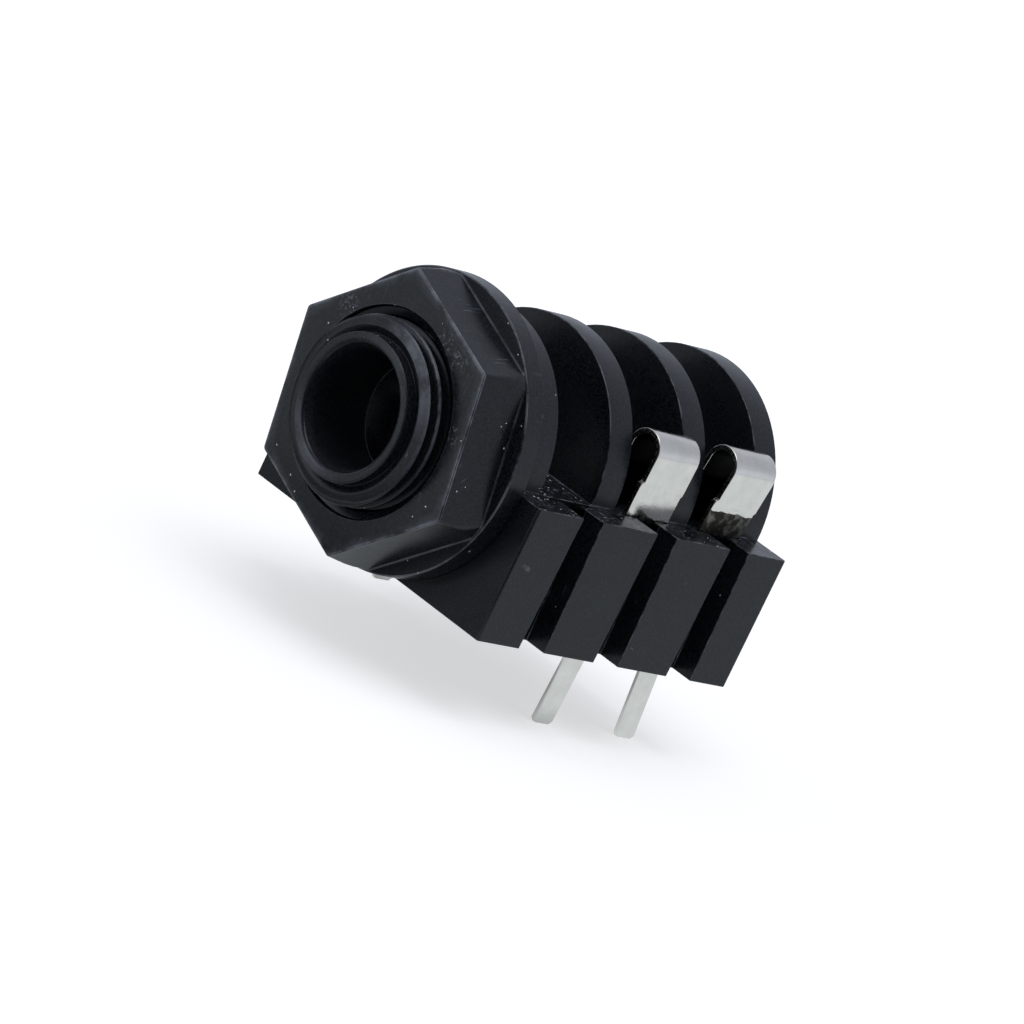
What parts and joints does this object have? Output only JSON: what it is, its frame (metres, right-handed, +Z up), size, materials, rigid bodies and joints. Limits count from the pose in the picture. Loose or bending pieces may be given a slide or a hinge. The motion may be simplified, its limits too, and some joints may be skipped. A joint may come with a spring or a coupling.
{
  "type": "audio jack socket",
  "caption": "Black panel and board mounting socket for a 6.35 mm audio plug, with ribbed body, hexagonal flange nut, folded contact springs and flat solder pins",
  "frame": {"origin": "on the plug's axis, in the plane where the front wall meets the panel", "axes": "+Y along the plug's way in, from the threaded nose to the rear; +X the side of the plug springs; +Z up, away from the board"},
  "size_m": [0.0208, 0.0278, 0.0224],
  "materials": {
    "black_body_moulding": "satin",
    "black_nut_moulding": "satin",
    "plated_spring_strip": "bright"
  },
  "bodies": {
    "socket_body": {"housing": "black_body_moulding", "sleeve_spring": "plated_spring_strip", "tip_spring": "plated_spring_strip", "sleeve_break_contact": "plated_spring_strip", "tip_break_contact": "plated_spring_strip"},
    "nut": {"nut": "black_nut_moulding"}
  },
  "joints": [
    {"name": "nut_unscrew", "type": "slide", "parent": "socket_body", "child": "nut", "axis": [0, -1, 0], "range_m": [0, 0.012]}
  ]
}
